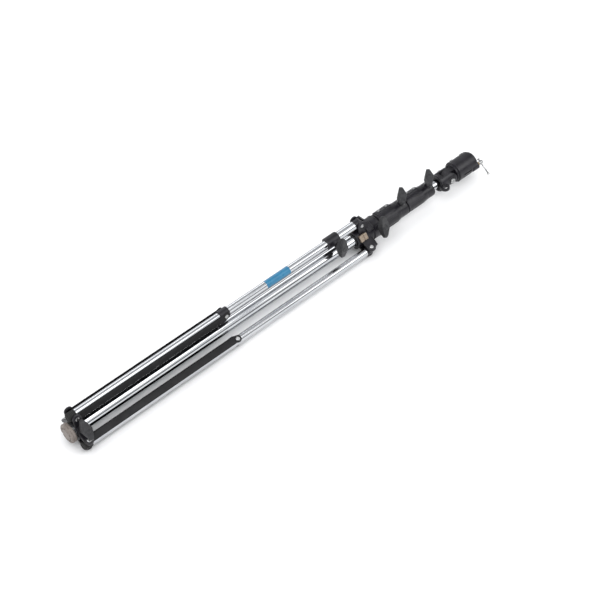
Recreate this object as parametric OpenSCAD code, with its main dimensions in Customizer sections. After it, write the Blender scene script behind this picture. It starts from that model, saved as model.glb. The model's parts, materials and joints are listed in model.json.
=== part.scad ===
// Heavy combination light and boom stand, folded and lying on its side.
// The column runs along X with its foot at -X. One leg is on top, two legs rest on the ground.

/* [Overall] */
// Length from the underside of the column foot to the tee bar
total_length = 1400; // [1390:1:1500]

/* [Column] */
// Outer diameter of the column tube
column_d = 35; // [32:0.5:38]
// Outer diameter of the second section
section_2_d = 30; // [27:0.5:31]
// Outer diameter of the third section
section_3_d = 25; // [20:0.5:26]
// Wall of the column and the sections
tube_wall = 1.5; // [1:0.1:1.6]
// Diameter of the pad under the column
foot_d = 53; // [40:1:56]
// Thickness of the pad under the column
foot_h = 16; // [10:1:16]

/* [Legs] */
// Distance between two neighbouring pivots of a strut or of a leg
link_length = 460; // [430:1:460]
// Height of the strut pivots above the underside of the column foot
low_pivot = 31; // [30:1:36]
// Radius of the pivot circle around the column axis
pivot_r = 46; // [45:0.5:50]
// Outer diameter of a leg tube
leg_d = 22; // [20:0.5:22]
// Wall of a leg tube
leg_wall = 1.5; // [1:0.1:2]
// Height of a leg's rubber tip above the underside of the column foot
leg_tip = 14; // [8:1:18]
// Outer width of a strut channel
strut_w = 30; // [30:0.5:32]
// Depth of a strut channel
strut_depth = 21; // [18:0.5:22]
// Sheet thickness of a strut channel
strut_wall = 1.8; // [1.5:0.1:1.8]
// Diameter of a pivot rivet
rivet_d = 6; // [5:0.5:7]

/* [Castings] */
// Largest diameter of the first clamp casting
casting_a_d = 54; // [50:1:56]
// Largest diameter of the second clamp casting
casting_b_d = 47; // [44:1:50]
// Length of each clamp casting
casting_length = 100; // [98:1:104]

/* [Wing knobs] */
// Width of a wing knob from tip to tip
knob_w = 58; // [50:1:62]
// Thickness of a wing at its middle, seen along the stud
knob_t = 23; // [20:1:24]
// Height of a wing knob along its stud
knob_h = 25; // [20:1:28]
// Diameter of a threaded stud
stud_d = 8; // [6:1:10]

/* [Head] */
// Distance from the column foot to the head's tilt pivot
tilt_pivot = 1280; // [1279:1:1284]
// Diameter of the head's barrel
barrel_d = 60; // [54:1:64]
// Diameter of the threaded end stud
end_stud_d = 9.5; // [8:0.1:12]
// Length of the tee bar
tee_bar_length = 54; // [44:1:60]

/* [Hidden] */
$fn = 48;
running = 0.08;
column_r = column_d / 2;
section_2_r = section_2_d / 2;
section_3_r = section_3_d / 2;
column_in = column_r - tube_wall;
section_2_in = section_2_r - tube_wall;
leg_r = leg_d / 2;
mid_pivot = low_pivot + link_length;
top_pivot = low_pivot + 2 * link_length;
leg_angles = [0, 120, 240];
knob_side = 60;
collar_knob_turn = -20;
level_knob_turn = -12;
clamp_knob_turn = -35;
clamp_side = 15;
flange_out = strut_w / 2;
flange_in = flange_out - strut_wall;
strut_inner = pivot_r - leg_r - 0.5 - strut_wall;
rivet_r = rivet_d / 2;
rivet_bore = rivet_r + running;
rivet_head_r = 5.5;
rivet_head_h = 1.8;
low_ear_in = flange_out + 0.4;
low_ear_out = low_ear_in + 5;
low_ear_r = 12;
low_ring = [foot_h + 3, foot_h + 30];
low_ring_r = 28;
top_ear_in = 12.4;
top_ear_out = top_ear_in + 5;
top_ring = [top_pivot - 23, top_pivot + 59];
top_ring_r = 27;
top_ring_in = 19.5;
low_knob_t = low_pivot + 3;
top_knob_t = top_pivot + 50;
knob_base = 40;
knob_gap = 0.5;
knob_tip_r = 8;
knob_tip_x = knob_h / 2 + 1;
almond_tip_r = 4;
hub_r = 10.5;
hub_h = knob_h * 0.7;
stud_depth = 12;
stud_gap = 0.5;
column_stud = knob_base + knob_gap - column_r - stud_gap;
section_2_stud = knob_base + knob_gap - section_2_r - stud_gap;
section_3_stud = knob_base + knob_gap - section_3_r - stud_gap;
// Height of the column axis when the two lower legs' collar ears rest on the ground
axis_height = (pivot_r + low_ear_r) / 2 + low_ear_out * sin(60);
// Reach of a near knob and of the far collar ear, and the shift that centres them on Y
near_reach = (knob_base + knob_gap + knob_tip_x) * sin(knob_side)
    + (knob_w / 2 - knob_tip_r) * cos(knob_side) + knob_tip_r;
far_reach = (pivot_r + low_ear_r) * sin(60) + low_ear_out / 2;
side_shift = (near_reach - far_reach) / 2;
leg_top = top_pivot - 16;
sleeve_bottom = top_pivot - 111;
sleeve_r = 13;
level_knob_t = sleeve_bottom + 18;
level_out = 28;
level_stud = level_out + knob_gap - sleeve_r - stud_gap;
inner_leg_top = top_pivot - 28;
guide_r = 14;
guide_half = 12.8;
guide_span = 14;
casting_a = top_ring[1] + 4;
casting_a_end = casting_a + casting_length;
casting_b = casting_a_end + 2;
casting_b_end = casting_b + casting_length;
column_end = casting_a + 74;
section_2_start = 60;
section_2_end = casting_b + 73;
section_3_start = 90;
clamp_length = 27;
plate_angle = -20;
plate_screws = [20, 48];
plate_screw_r = 2.5;
clamp_a_knob = casting_a_end - clamp_length / 2;
clamp_b_knob = casting_b_end - clamp_length / 2;
eye_angle = 90;
socket_r = 24.5;
eye_t = casting_b_end + 30;
cheek_in = 9.4;
tongue_half = 9;
bolt_half = 24.5;
bolt_r = 5;
cheek_r = 20;
fork_floor = tilt_pivot - 21;
barrel_start = tilt_pivot + cheek_r + 1;
barrel_end = total_length - 22;
end_root_r = end_stud_d / 2 - 1;
root_depth = 14;
end_stud_length = 11;
tee_angle = 105;
tee_off = 22;
tee_bush_r = 6.5;
tee_screw_r = 4;
cover_screws_t = [barrel_start + 20, barrel_end - 18];
cover_screw_angle = tee_angle - 150;
cover_screw_r = 2.5;
tee_bar_angle = 130;
tee_bar_t = total_length - 4;
tee_bar_shift = 14;
tee_bar_r = 3.5;

// Local frame of every sub-part: Z runs up the column from its foot, X points to the top leg
module lying() {
    translate([-total_length / 2, side_shift, axis_height])
        rotate([0, 90, 0]) rotate([0, 0, 180]) children();
}

module tube(r, wall, from, to) {
    translate([0, 0, from]) difference() {
        cylinder(r = r, h = to - from);
        translate([0, 0, -1]) cylinder(r = r - wall, h = to - from + 2);
    }
}

module ring(r, bore, from, to) {
    tube(r, r - bore, from, to);
}

module across(x, y, z) {
    translate([x, y, z]) rotate([-90, 0, 0]) children();
}

// A rounded ear that stands on the Y faces between two half widths
module ear(root_r, y_from, y_to, z, r) {
    for (side = [-1, 1])
        translate([0, side > 0 ? y_from : -y_to, z]) rotate([-90, 0, 0]) {
            translate([pivot_r, 0, 0]) cylinder(r = r, h = y_to - y_from);
            translate([root_r, -r, 0]) cube([pivot_r - root_r, 2 * r, y_to - y_from]);
        }
}

module pivot_hole(z, r, half) {
    across(pivot_r, -half, z) cylinder(r = r, h = 2 * half);
}

module rivet(z, half) {
    across(pivot_r, -half, z) cylinder(r = rivet_r, h = 2 * half);
    for (side = [-1, 1])
        across(pivot_r, side > 0 ? half : -half - rivet_head_h, z)
            cylinder(r = rivet_head_r, h = rivet_head_h);
}

module stub_rivets(z, y_from, y_to) {
    for (side = [0, 180])
        translate([pivot_r, 0, z]) rotate([0, 0, side]) rotate([-90, 0, 0]) {
            translate([0, 0, y_from]) cylinder(r = rivet_r, h = y_to - y_from);
            translate([0, 0, y_to]) cylinder(r = rivet_head_r, h = rivet_head_h);
        }
}

// ---------- column ----------

module column_tube() {
    color("gainsboro") lying() tube(column_r, tube_wall, foot_h + 1, column_end);
}

module base_foot() {
    pad_r = foot_d / 2;
    color("rosybrown") lying() difference() {
        rotate_extrude() polygon([[0, 0], [pad_r - 3, 0], [pad_r, 3], [pad_r, 6], [pad_r - 1.5, 7],
            [pad_r - 1.5, 9], [pad_r, 10], [pad_r, foot_h - 3], [pad_r - 3, foot_h], [column_r, foot_h],
            [column_r, foot_h + 1], [column_in, foot_h + 1], [column_in, foot_h + 26], [0, foot_h + 26]]);
        for (angle = [30:60:330])
            rotate([0, 0, angle]) translate([pad_r + 4, 0, -1]) cylinder(r = 6, h = foot_h + 2);
    }
}

module lower_collar() {
    color("dimgray") lying() difference() {
        union() {
            ring(low_ring_r, column_r, low_ring[0], low_ring[1]);
            for (angle = leg_angles) rotate([0, 0, angle])
                ear(20, low_ear_in, low_ear_out, low_pivot, low_ear_r);
            rotate([0, 0, knob_side]) translate([low_ring_r - 6, 0, low_knob_t])
                rotate([0, 90, 0]) cylinder(r = 11, h = knob_base - low_ring_r + 4);
        }
        translate([0, 0, low_ring[0] - 1]) cylinder(r = column_r, h = low_ring[1] - low_ring[0] + 2);
        for (angle = leg_angles) rotate([0, 0, angle])
            pivot_hole(low_pivot, rivet_r, low_ear_out + 1);
        rotate([0, 0, knob_side]) translate([column_r - 2, 0, low_knob_t])
            rotate([0, 90, 0]) cylinder(r = stud_d / 2 + running, h = knob_base);
    }
}

module lower_rivets() {
    color("silver") lying() for (angle = leg_angles) rotate([0, 0, angle])
        stub_rivets(low_pivot, flange_in + 0.2, low_ear_out);
}

// ---------- legs ----------

module strut(angle) {
    web_from = low_pivot + 22;
    web_to = mid_pivot - 20;
    end_r = 10;
    color("dimgray") lying() rotate([0, 0, angle]) difference() {
        union() {
            for (side = [0, 1])
                translate([0, side * (strut_w - strut_wall) - flange_out, 0]) rotate([-90, 0, 0]) {
                    for (z = [low_pivot, mid_pivot])
                        translate([pivot_r, -z, 0]) cylinder(r = end_r, h = strut_wall);
                    translate([strut_inner, -mid_pivot, 0])
                        cube([strut_depth, link_length, strut_wall]);
                }
            translate([strut_inner, -flange_out, web_from])
                cube([strut_wall, strut_w, web_to - web_from]);
        }
        for (z = [low_pivot, mid_pivot]) pivot_hole(z, z == low_pivot ? rivet_bore : rivet_r, flange_out + 1);
    }
}

module mid_rivets_a() {
    color("silver") lying() stub_rivets(mid_pivot, 11.4, flange_out);
}

module mid_rivet(angle) {
    color("silver") lying() rotate([0, 0, angle]) rivet(mid_pivot, flange_out);
}

module leg_tube(angle, top) {
    color("gainsboro") lying() rotate([0, 0, angle]) difference() {
        translate([pivot_r, 0, 0]) tube(leg_r, leg_wall, leg_tip + 4, top);
        if (angle > 0) pivot_hole(mid_pivot, rivet_bore, leg_r + 1);
    }
}

module leg_sleeve_a() {
    color("gainsboro") lying() translate([pivot_r, 0, 0])
        ring(sleeve_r, leg_r + running, sleeve_bottom, leg_top);
}

module level_clamp() {
    height = 38;
    color("dimgray") lying() translate([pivot_r, 0, sleeve_bottom - 1]) difference() {
        union() {
            cylinder(r = sleeve_r + 3.5, h = height);
            translate([0, sleeve_r - 2, height / 2]) rotate([-90, 0, 0])
                cylinder(r = 9, h = level_out - sleeve_r - 2);
        }
        translate([0, 0, 1]) cylinder(r = sleeve_r, h = height);
        translate([0, 0, -1]) cylinder(r = leg_r + 0.4, h = 3);
        translate([0, sleeve_r - 1, height / 2]) rotate([-90, 0, 0])
            cylinder(r = stud_d / 2 + running, h = level_out);
    }
}

module leg_guide_a() {
    color("dimgray") lying() translate([pivot_r, 0, mid_pivot]) difference() {
        intersection() {
            translate([0, 0, -guide_span]) cylinder(r = guide_r, h = 2 * guide_span);
            cube([2 * guide_r, 2 * guide_half, 2 * guide_span], center = true);
        }
        translate([0, 0, -guide_span - 1]) cylinder(r = leg_r + running, h = 2 * guide_span + 2);
        translate([0, -guide_half - 1, 0]) rotate([-90, 0, 0])
            cylinder(r = rivet_bore, h = 2 * guide_half + 2);
    }
}

// Fitting that carries the top pivot: a tongue above the tube and a plug inside it
module leg_end(angle, plug_r, seat_r) {
    color("dimgray") lying() rotate([0, 0, angle]) difference() {
        union() {
            intersection() {
                translate([pivot_r, 0, leg_top]) cylinder(r = seat_r, h = 40);
                translate([pivot_r - 20, -12, leg_top]) cube([40, 24, top_pivot - leg_top]);
            }
            intersection() {
                across(pivot_r, -12, top_pivot) cylinder(r = 11, h = 24);
                translate([pivot_r, 0, leg_top]) cylinder(r = 13, h = 40);
            }
            translate([pivot_r, 0, leg_top - 10]) cylinder(r = plug_r, h = 12);
        }
        pivot_hole(top_pivot, rivet_bore, 14);
    }
}

module leg_tip(angle) {
    color("black") lying() rotate([0, 0, angle]) translate([pivot_r, 0, leg_tip]) difference() {
        rotate_extrude() polygon([[0, 0], [9, 0], [11.6, 3], [12, 6], [12, 22], [11.5, 24], [leg_r, 24],
            [leg_r, 4], [leg_r - leg_wall, 4], [leg_r - leg_wall, 18], [0, 18]]);
        translate([0, 0, 6]) cylinder(r = 6, h = 20);
    }
}

module label_band() {
    color("dodgerblue") lying() translate([pivot_r, 0, top_pivot - 321])
        rotate([0, 0, -60]) rotate_extrude(angle = 180) translate([leg_r, 0]) square([0.25, 78]);
}

// ---------- leg collar ----------

module leg_collar() {
    color("dimgray") lying() difference() {
        union() {
            ring(top_ring_r, top_ring_in, top_ring[0], top_ring[1]);
            translate([0, 0, top_ring[1] - 26]) cylinder(r = top_ring_r + 3, h = 26);
            for (angle = leg_angles) rotate([0, 0, angle]) {
                ear(22, top_ear_in, top_ear_out, top_pivot, 12.5);
                translate([22, -top_ear_out, top_pivot + 14.2])
                    cube([28, 2 * top_ear_out, 6]);
                for (side = [-1, 1])
                    translate([22, side > 0 ? top_ear_in : -top_ear_out, top_pivot])
                        cube([28, top_ear_out - top_ear_in, 20]);
            }
            rotate([0, 0, knob_side]) translate([top_ring_r - 6, 0, top_knob_t])
                rotate([0, 90, 0]) cylinder(r = 8.9, h = knob_base - top_ring_r + 4);
        }
        translate([0, 0, top_ring[0] - 1]) cylinder(r = top_ring_in, h = top_ring[1] - top_ring[0] + 2);
        for (angle = leg_angles) rotate([0, 0, angle])
            pivot_hole(top_pivot, rivet_r, top_ear_out + 1);
        rotate([0, 0, knob_side]) translate([column_r, 0, top_knob_t])
            rotate([0, 90, 0]) cylinder(r = stud_d / 2 + running, h = knob_base);
        rotate([0, 0, knob_side]) translate([23.5, -9, top_pivot - 18]) cube([20, 18, 24]);
    }
}

module collar_bush() {
    color("black") lying() difference() {
        ring(top_ring_in, column_r + running, top_ring[0] - 2, top_ring[1]);
        rotate([0, 0, knob_side]) translate([0, 0, top_knob_t])
            rotate([0, 90, 0]) cylinder(r = stud_d / 2 + running, h = knob_base);
    }
}

module collar_rivets() {
    color("silver") lying() for (angle = leg_angles) rotate([0, 0, angle])
        rivet(top_pivot, top_ear_out);
}

module clamp_shoe() {
    color("tan") lying() rotate([0, 0, knob_side]) translate([23.5, -9, top_pivot - 18]) difference() {
        cube([9.5, 18, 24]);
        translate([7, -1, 10]) cube([4, 20, 4]);
    }
}

// ---------- telescopic sections ----------

// Clamp casting: a faceted sleeve on the lower tube and a split clamp ring round the sliding tube
module clamp_casting(r, bore, from) {
    sleeve_end = casting_length - clamp_length;
    difference() {
        translate([0, 0, from]) union() {
            cylinder(r1 = r - 2, r2 = r, h = 4);
            translate([0, 0, 4]) cylinder(r = r, h = sleeve_end - 16);
            translate([0, 0, sleeve_end - 12]) cylinder(r1 = r, r2 = bore + 7.5, h = 12);
            translate([0, 0, sleeve_end]) cylinder(r = bore + 7, h = clamp_length);
            rotate([0, 0, clamp_side]) translate([r - 12, 0, casting_length - clamp_length / 2])
                rotate([0, 90, 0]) cylinder(r = 9.5, h = knob_base - r + 10);
            rotate([0, 0, plate_angle]) translate([r - 9, -8, 8]) cube([12, 16, sleeve_end - 22]);
        }
        translate([0, 0, from - 1]) cylinder(r = bore, h = casting_length + 2);
        rotate([0, 0, clamp_side]) translate([bore - 1, 0, from + casting_length - clamp_length / 2])
            rotate([0, 90, 0]) cylinder(r = stud_d / 2 + running, h = knob_base);
        for (z = plate_screws) rotate([0, 0, plate_angle])
            translate([r - 3, 0, from + z]) rotate([0, 90, 0]) cylinder(r = plate_screw_r, h = 12);
        rotate([0, 0, clamp_side + 180]) translate([0, -1, from + sleeve_end + 2])
            cube([r, 2, clamp_length]);
    }
}

module clamp_screws(r, from) {
    for (z = plate_screws) rotate([0, 0, plate_angle]) translate([r - 3, 0, from + z]) rotate([0, 90, 0])
        difference() {
            union() {
                cylinder(r = plate_screw_r, h = 8);
                translate([0, 0, 6]) cylinder(r = 5, h = 3);
            }
            translate([0, 0, 7]) cylinder(r = 2.3, h = 3, $fn = 6);
        }
}

module clamp_bush(r, bore, from, to) {
    difference() {
        ring(r, bore, from, to - 0.5);
        rotate([0, 0, clamp_side]) translate([0, 0, to - clamp_length / 2])
            rotate([0, 90, 0]) cylinder(r = stud_d / 2 + running, h = knob_base);
    }
}

module casting_a() {
    color("dimgray") lying() clamp_casting(casting_a_d / 2, column_r, casting_a);
}

module bush_a() {
    color("black") lying() clamp_bush(column_r, section_2_r + running, column_end, casting_a_end);
}

module screws_a() {
    color("silver") lying() clamp_screws(casting_a_d / 2, casting_a);
}

module section_2_tube() {
    color("gainsboro") lying() tube(section_2_r, tube_wall, section_2_start, section_2_end);
}

module guide_2() {
    color("black") lying() ring(column_in - running, section_2_r, section_2_start, section_2_start + 22);
}

module casting_b() {
    color("dimgray") lying() clamp_casting(casting_b_d / 2, section_2_r, casting_b);
}

module bush_b() {
    color("black") lying() clamp_bush(section_2_r, section_3_r + running, section_2_end, casting_b_end);
}

module screws_b() {
    color("silver") lying() clamp_screws(casting_b_d / 2, casting_b);
}

module section_3_tube() {
    color("gainsboro") lying() tube(section_3_r, tube_wall, section_3_start, fork_floor - 5);
}

module guide_3() {
    color("black") lying() ring(section_2_in - running, section_3_r, section_3_start, section_3_start + 20);
}

// ---------- head ----------

// Fork of the socket: the round socket cut flat above and below and rounded about the pivot
module fork() {
    difference() {
        intersection() {
            translate([0, 0, eye_t]) cylinder(r = socket_r, h = tilt_pivot + cheek_r - eye_t);
            union() {
                translate([-cheek_r, -socket_r, eye_t]) cube([2 * cheek_r, 2 * socket_r, tilt_pivot - eye_t]);
                across(0, -socket_r, tilt_pivot) cylinder(r = cheek_r, h = 2 * socket_r);
            }
        }
        translate([-socket_r, -cheek_in, fork_floor]) cube([2 * socket_r, 2 * cheek_in, 3 * cheek_r]);
    }
}

module head_socket() {
    color("dimgray") lying() difference() {
        union() {
            translate([0, 0, eye_t - 4]) cylinder(r = socket_r, h = 7.5);
            rotate([0, 0, eye_angle]) translate([30, 0, eye_t]) rotate([90, 0, 0])
                translate([0, 0, -4]) cylinder(r = 13, h = 8);
            fork();
        }
        translate([0, 0, eye_t - 5]) cylinder(r = section_3_r, h = fork_floor - eye_t);
        translate([0, 0, eye_t - 5]) cylinder(r = socket_r - 5, h = 5);
        rotate([0, 0, eye_angle]) translate([32.5, 5, eye_t]) rotate([90, 0, 0]) cylinder(r = 6.5, h = 10);
        across(0, -30, tilt_pivot) cylinder(r = bolt_r, h = 60);
    }
}

module head_barrel() {
    core_r = barrel_d / 2 - 4;
    color("dimgray") lying() difference() {
        union() {
            translate([0, 0, barrel_start]) cylinder(r = core_r, h = barrel_end - barrel_start);
            translate([0, 0, barrel_start + 6]) intersection() {
                cylinder(r = barrel_d / 2, h = barrel_end - barrel_start - 12);
                rotate([0, 0, tee_angle - 60]) translate([4, -40, 0]) cube([80, 80, 80]);
            }
            across(0, -tongue_half, tilt_pivot) cylinder(r = cheek_r - 0.5, h = 2 * tongue_half);
            translate([0.5 - cheek_r, -tongue_half, tilt_pivot])
                cube([2 * cheek_r - 1, 2 * tongue_half, barrel_start - tilt_pivot + 1]);
            rotate([0, 0, tee_angle]) translate([tee_off, 0, barrel_end - 20]) cylinder(r = 11, h = 22);
        }
        across(0, -12, tilt_pivot) cylinder(r = bolt_r + running, h = 24);
        rotate([0, 0, tee_angle]) translate([tee_off, 0, barrel_end - root_depth])
            cylinder(r = tee_bush_r, h = root_depth + 6);
        rotate([0, 0, tee_angle]) translate([tee_off, 0, barrel_end - 34])
            cylinder(r = tee_screw_r + 0.5, h = 30);
        translate([0, 0, barrel_end - root_depth]) cylinder(r = end_root_r, h = root_depth + 6);
        for (z = cover_screws_t) rotate([0, 0, cover_screw_angle])
            translate([10, 0, z]) rotate([0, 90, 0]) cylinder(r = cover_screw_r, h = 30);
    }
}

module head_cover() {
    split = tee_angle + 120;
    color("dimgray") lying() difference() {
        translate([0, 0, barrel_start + 6]) intersection() {
            ring(barrel_d / 2, barrel_d / 2 - 4, 0, barrel_end - barrel_start - 12);
            rotate([0, 0, split]) translate([-3.4, -40, -1]) cube([80, 80, 80]);
        }
        for (z = cover_screws_t) rotate([0, 0, cover_screw_angle])
            translate([10, 0, z]) rotate([0, 90, 0]) cylinder(r = cover_screw_r, h = 30);
    }
}

module cover_screws() {
    color("silver") lying() for (z = cover_screws_t) rotate([0, 0, cover_screw_angle])
        translate([12, 0, z]) rotate([0, 90, 0]) {
            cylinder(r = cover_screw_r, h = barrel_d / 2 - 12);
            translate([0, 0, barrel_d / 2 - 12]) cylinder(r = 4.5, h = 2);
        }
}

module tilt_bolt() {
    color("silver") lying() {
        across(0, -bolt_half, tilt_pivot) cylinder(r = bolt_r, h = 2 * bolt_half);
        across(0, bolt_half, tilt_pivot) cylinder(r = 8, h = 4);
        across(0, -bolt_half - 5, tilt_pivot) cylinder(r = 8, h = 5, $fn = 6);
    }
}

module end_stud() {
    color("silver") lying() {
        translate([0, 0, barrel_end - root_depth]) cylinder(r = end_root_r, h = root_depth + 1);
        translate([0, 0, barrel_end]) cylinder(r = end_stud_d / 2, h = end_stud_length);
    }
}

module tee_bush() {
    color("goldenrod") lying() rotate([0, 0, tee_angle]) translate([tee_off, 0, 0])
        ring(tee_bush_r, tee_screw_r + running, barrel_end - root_depth, barrel_end + 6);
}

module tee_screw() {
    color("silver") lying() rotate([0, 0, tee_angle]) translate([tee_off, 0, 0]) difference() {
        union() {
            translate([0, 0, barrel_end - 30]) cylinder(r = tee_screw_r, h = tee_bar_t - barrel_end + 30);
            translate([0, 0, barrel_end + 7]) cylinder(r = 5.5, h = total_length - barrel_end - 7);
        }
        translate([0, 0, tee_bar_t - 1.5]) rotate([0, 0, tee_bar_angle - tee_angle]) rotate([0, 90, 0])
            translate([0, 0, -10]) cylinder(r = 2.1, h = 20);
    }
}

module tee_bar() {
    color("silver") lying() rotate([0, 0, tee_angle]) translate([tee_off, 0, tee_bar_t - 1.5])
        rotate([0, 0, tee_bar_angle - tee_angle]) rotate([0, 90, 0])
            translate([0, 0, tee_bar_shift - tee_bar_length / 2]) {
                cylinder(r = 2, h = tee_bar_length);
                for (end = [0, tee_bar_length - 5]) translate([0, 0, end]) cylinder(r = tee_bar_r, h = 5);
            }
}

// ---------- wing knobs ----------

// Side view of the wings: the stud axis is X, the wings reach along Y
module wing_side() {
    hull() {
        for (side = [-1, 1])
            translate([knob_tip_x, side * (knob_w / 2 - knob_tip_r)]) circle(r = knob_tip_r, $fn = 32);
        translate([knob_h - 12, 0]) circle(r = 12, $fn = 32);
        translate([1, -9]) square([2, 18]);
    }
}

// View along the stud: an almond, full at the hub and narrow at both tips
module wing_top() {
    hull() {
        circle(r = knob_t / 2, $fn = 48);
        for (side = [-1, 1])
            translate([0, side * (knob_w / 2 - almond_tip_r)]) circle(r = almond_tip_r, $fn = 24);
    }
}

// Knob with its stud along +X from the origin, wings along Y
module knob_body() {
    difference() {
        union() {
            rotate([0, 90, 0]) cylinder(r1 = hub_r, r2 = hub_r - 1.5, h = hub_h);
            intersection() {
                translate([0, 0, -knob_t]) linear_extrude(2 * knob_t) wing_side();
                rotate([0, 90, 0]) linear_extrude(2 * knob_h) wing_top();
            }
        }
        rotate([0, 90, 0]) translate([0, 0, -1]) cylinder(r = stud_d / 2, h = stud_depth + 1);
    }
}

module knob_stud(length) {
    rotate([0, 90, 0]) translate([0, 0, -length]) cylinder(r = stud_d / 2, h = length + stud_depth);
}

module knob_place(angle, z, turn = 0) {
    lying() rotate([0, 0, angle]) translate([knob_base, 0, z]) rotate([turn, 0, 0])
        translate([knob_gap, 0, 0]) children();
}

module level_place() {
    lying() translate([pivot_r, level_out, level_knob_t]) rotate([0, 0, 90])
        rotate([level_knob_turn, 0, 0]) translate([knob_gap, 0, 0]) children();
}

module knob_low() {
    color("dimgray") knob_place(knob_side, low_knob_t) knob_body();
}

module stud_low() {
    color("silver") knob_place(knob_side, low_knob_t) knob_stud(column_stud);
}

module knob_collar() {
    color("dimgray") knob_place(knob_side, top_knob_t, collar_knob_turn) knob_body();
}

module stud_collar() {
    color("silver") knob_place(knob_side, top_knob_t, collar_knob_turn) knob_stud(column_stud);
}

module knob_level() {
    color("dimgray") level_place() knob_body();
}

module stud_level() {
    color("silver") level_place() knob_stud(level_stud);
}

module knob_a() {
    color("dimgray") knob_place(clamp_side, clamp_a_knob, clamp_knob_turn) knob_body();
}

module stud_a() {
    color("silver") knob_place(clamp_side, clamp_a_knob, clamp_knob_turn) knob_stud(section_2_stud);
}

module knob_b() {
    color("dimgray") knob_place(clamp_side, clamp_b_knob, clamp_knob_turn) knob_body();
}

module stud_b() {
    color("silver") knob_place(clamp_side, clamp_b_knob, clamp_knob_turn) knob_stud(section_3_stud);
}

column_tube();
base_foot();
lower_collar();
lower_rivets();
casting_a();
bush_a();
screws_a();
strut(leg_angles[0]);  // strut_a
strut(leg_angles[1]);  // strut_b
strut(leg_angles[2]);  // strut_c
mid_rivets_a();
mid_rivet(leg_angles[1]);  // mid_rivet_b
mid_rivet(leg_angles[2]);  // mid_rivet_c
leg_sleeve_a();
level_clamp();
leg_guide_a();
leg_tube(leg_angles[0], inner_leg_top);  // leg_tube_a
leg_tube(leg_angles[1], leg_top);  // leg_tube_b
leg_tube(leg_angles[2], leg_top);  // leg_tube_c
leg_end(leg_angles[0], leg_r + running, sleeve_r);  // leg_end_a
leg_end(leg_angles[1], leg_r - leg_wall, leg_r);  // leg_end_b
leg_end(leg_angles[2], leg_r - leg_wall, leg_r);  // leg_end_c
leg_tip(leg_angles[0]);  // leg_tip_a
leg_tip(leg_angles[1]);  // leg_tip_b
leg_tip(leg_angles[2]);  // leg_tip_c
label_band();
leg_collar();
collar_bush();
collar_rivets();
clamp_shoe();
section_2_tube();
guide_2();
casting_b();
bush_b();
screws_b();
section_3_tube();
guide_3();
head_socket();
head_barrel();
head_cover();
cover_screws();
tilt_bolt();
end_stud();
tee_bush();
tee_screw();
tee_bar();
knob_low();
stud_low();
knob_collar();
stud_collar();
knob_level();
stud_level();
knob_a();
stud_a();
knob_b();
stud_b();
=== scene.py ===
"""Looks for a folded combination light and boom stand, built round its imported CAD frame.

Pieces are drawn in the stand's own local frame in millimetres: Z runs up the column from the foot
and X points to the top leg. local_frame() puts that frame into the world, in metres.
"""

import json
import math

import bmesh
import bpy
from mathutils import Matrix, Vector


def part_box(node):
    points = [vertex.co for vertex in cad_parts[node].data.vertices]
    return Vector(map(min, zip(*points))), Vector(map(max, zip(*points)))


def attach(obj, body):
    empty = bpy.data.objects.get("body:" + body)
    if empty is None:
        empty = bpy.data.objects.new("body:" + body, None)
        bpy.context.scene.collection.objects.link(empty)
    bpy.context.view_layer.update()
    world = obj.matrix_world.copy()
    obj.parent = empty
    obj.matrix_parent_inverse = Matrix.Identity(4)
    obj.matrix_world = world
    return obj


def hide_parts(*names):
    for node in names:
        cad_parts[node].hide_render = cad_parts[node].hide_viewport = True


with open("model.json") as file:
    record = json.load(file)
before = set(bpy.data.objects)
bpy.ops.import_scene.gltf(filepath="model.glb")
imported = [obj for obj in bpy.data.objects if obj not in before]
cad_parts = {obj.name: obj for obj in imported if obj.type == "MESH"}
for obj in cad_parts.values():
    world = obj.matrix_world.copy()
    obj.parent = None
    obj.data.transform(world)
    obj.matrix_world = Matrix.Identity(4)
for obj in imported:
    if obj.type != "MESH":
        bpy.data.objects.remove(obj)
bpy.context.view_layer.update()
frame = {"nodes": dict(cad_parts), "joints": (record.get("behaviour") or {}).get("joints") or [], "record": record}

MM = 0.001
RECORD = frame["record"]
JOINTS = {j["name"]: j for j in frame["joints"]}
BODY_OF = {n: b for b, nodes in RECORD["behaviour"]["bodies"].items() for n in nodes}
LEGS = {"a": 0, "b": 120, "c": 240}

TUBE_WALL = 1.5
STRUT_WALL = 1.8
STRUT_WIDTH = 30
STRUT_DEPTH = 21
STRUT_END_R = 10
WEB_START = 22
WEB_END = 20
RIVET_HEAD_R = 5.5
RIVET_HEAD_H = 1.8
RIVET_R = 3
RUNNING = 0.08
LOW_EAR_OUT = 20.4
TOP_EAR_OUT = 17.4
LOW_STUB_FROM = 13.4
MID_STUB_FROM = 11.4
TIP_R = 12
KNOB_HUB_H = 17.5
KNOB_TOP = 25
KNOB_STUD_DEPTH = 12
KNOB_RIBS = (3.5, 9.0, 14.5, 20.0)
KNOB_RIB_W = 2.2
CLAMP_LENGTH = 27
SCREW_ANGLE = -20
PLATE_SCREWS = (20, 48)
BOLT_HALF = 24.5
BARREL_R = 30
STUD_ROOT = 14
TEE_ANGLE = 105


# ---------- places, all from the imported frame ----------

def local_frame():
    """Local millimetres to world metres: the column's axis, with zero at the underside of its foot."""
    lo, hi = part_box("column_tube")
    mid = (lo + hi) / 2
    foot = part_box("base_foot")[0].x
    return Matrix(((0, 0, MM, foot), (0, -MM, 0, mid.y), (MM, 0, 0, mid.z), (0, 0, 0, 1)))


LYING = local_frame()
TO_LOCAL = LYING.inverted()
ALONG_X = Matrix.Rotation(math.radians(90), 4, "Y")
ALONG_Y = Matrix.Rotation(math.radians(-90), 4, "X")
BACK_Y = Matrix.Rotation(math.radians(90), 4, "X")


def at(angle=0, x=0.0, y=0.0, t=0.0):
    """The local frame turned about the column by angle, then moved."""
    return LYING @ Matrix.Rotation(math.radians(angle), 4, "Z") @ Matrix.Translation((x, y, t))


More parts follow.
